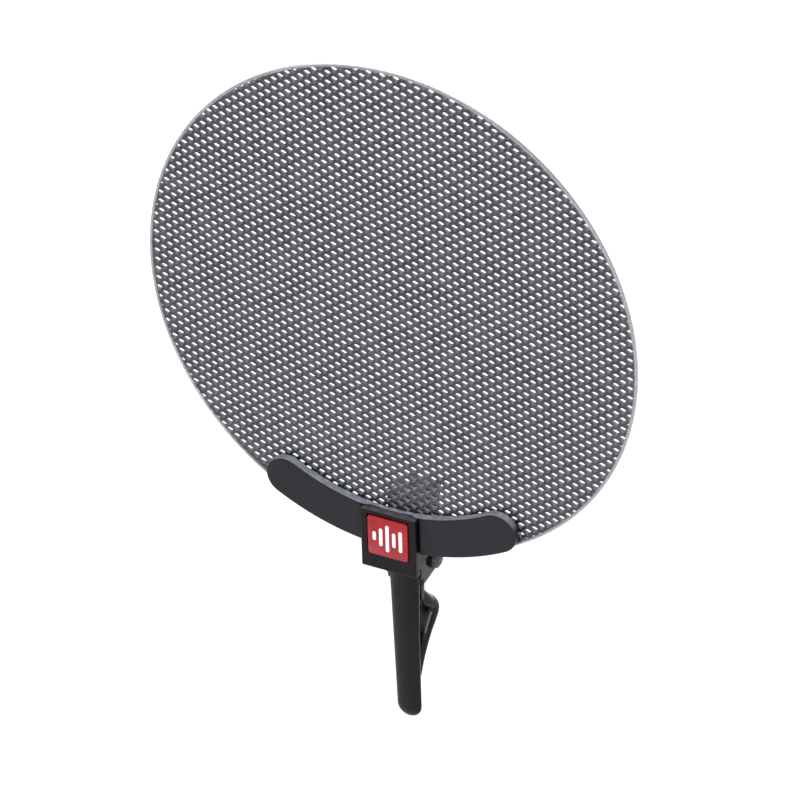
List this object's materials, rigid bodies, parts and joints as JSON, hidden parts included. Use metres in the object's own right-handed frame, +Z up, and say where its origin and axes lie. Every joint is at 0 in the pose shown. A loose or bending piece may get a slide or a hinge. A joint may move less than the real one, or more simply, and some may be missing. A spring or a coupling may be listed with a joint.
{
  "type": "pop filter",
  "caption": "Clip-on microphone pop filter: a flat round screen of dark expanded metal in a curved plastic clamp bar, on a sprung two-lever clip with rubber-lined jaws.",
  "frame": {"origin": "centre of the round tube that the jaws grip", "axes": "+X along the gripped tube and the hinge pin, +Y from the speaker's side of the screen towards the microphone, +Z up the screen"},
  "size_m": [0.13, 0.0213, 0.1838],
  "materials": {
    "screen_metal": "dark grey coated expanded steel, satin",
    "bar_plastic": "moulded black plastic, fine matte texture",
    "block_plastic": "moulded black plastic, satin",
    "badge_enamel": null,
    "clip_plastic": "moulded black plastic, semi-gloss",
    "pad_rubber": "matt black rubber",
    "steel": "plain steel",
    "dark_steel": "blackened steel",
    "brass": "plain brass"
  },
  "bodies": {
    "clip_frame": {"mesh_screen": "screen_metal", "front_clamp_bar": "bar_plastic", "rear_clamp_bar": "bar_plastic", "bar_screw_1": "steel", "bar_screw_2": "steel", "bar_screw_3": "steel", "bar_screw_4": "steel", "badge_block": "block_plastic", "badge_plate": "badge_enamel", "neck_screw_left": "steel", "neck_screw_right": "steel", "neck_insert_left": "brass", "neck_insert_right": "brass", "clip_front_half": "clip_plastic", "front_jaw_pad": "pad_rubber", "pivot_pin": "dark_steel", "pin_cap": "dark_steel", "torsion_spring": "steel"},
    "rear_jaw": {"clip_rear_half": "clip_plastic", "rear_jaw_pad": "pad_rubber"}
  },
  "joints": [
    {"name": "jaw_hinge", "type": "hinge", "parent": "clip_frame", "child": "rear_jaw", "pos_m": [0, 0, -0.016], "axis": [-1, 0, 0], "range_deg": [-14, 2], "stiffness_Nm_per_rad": 0.08, "deforming": ["torsion_spring"]}
  ]
}
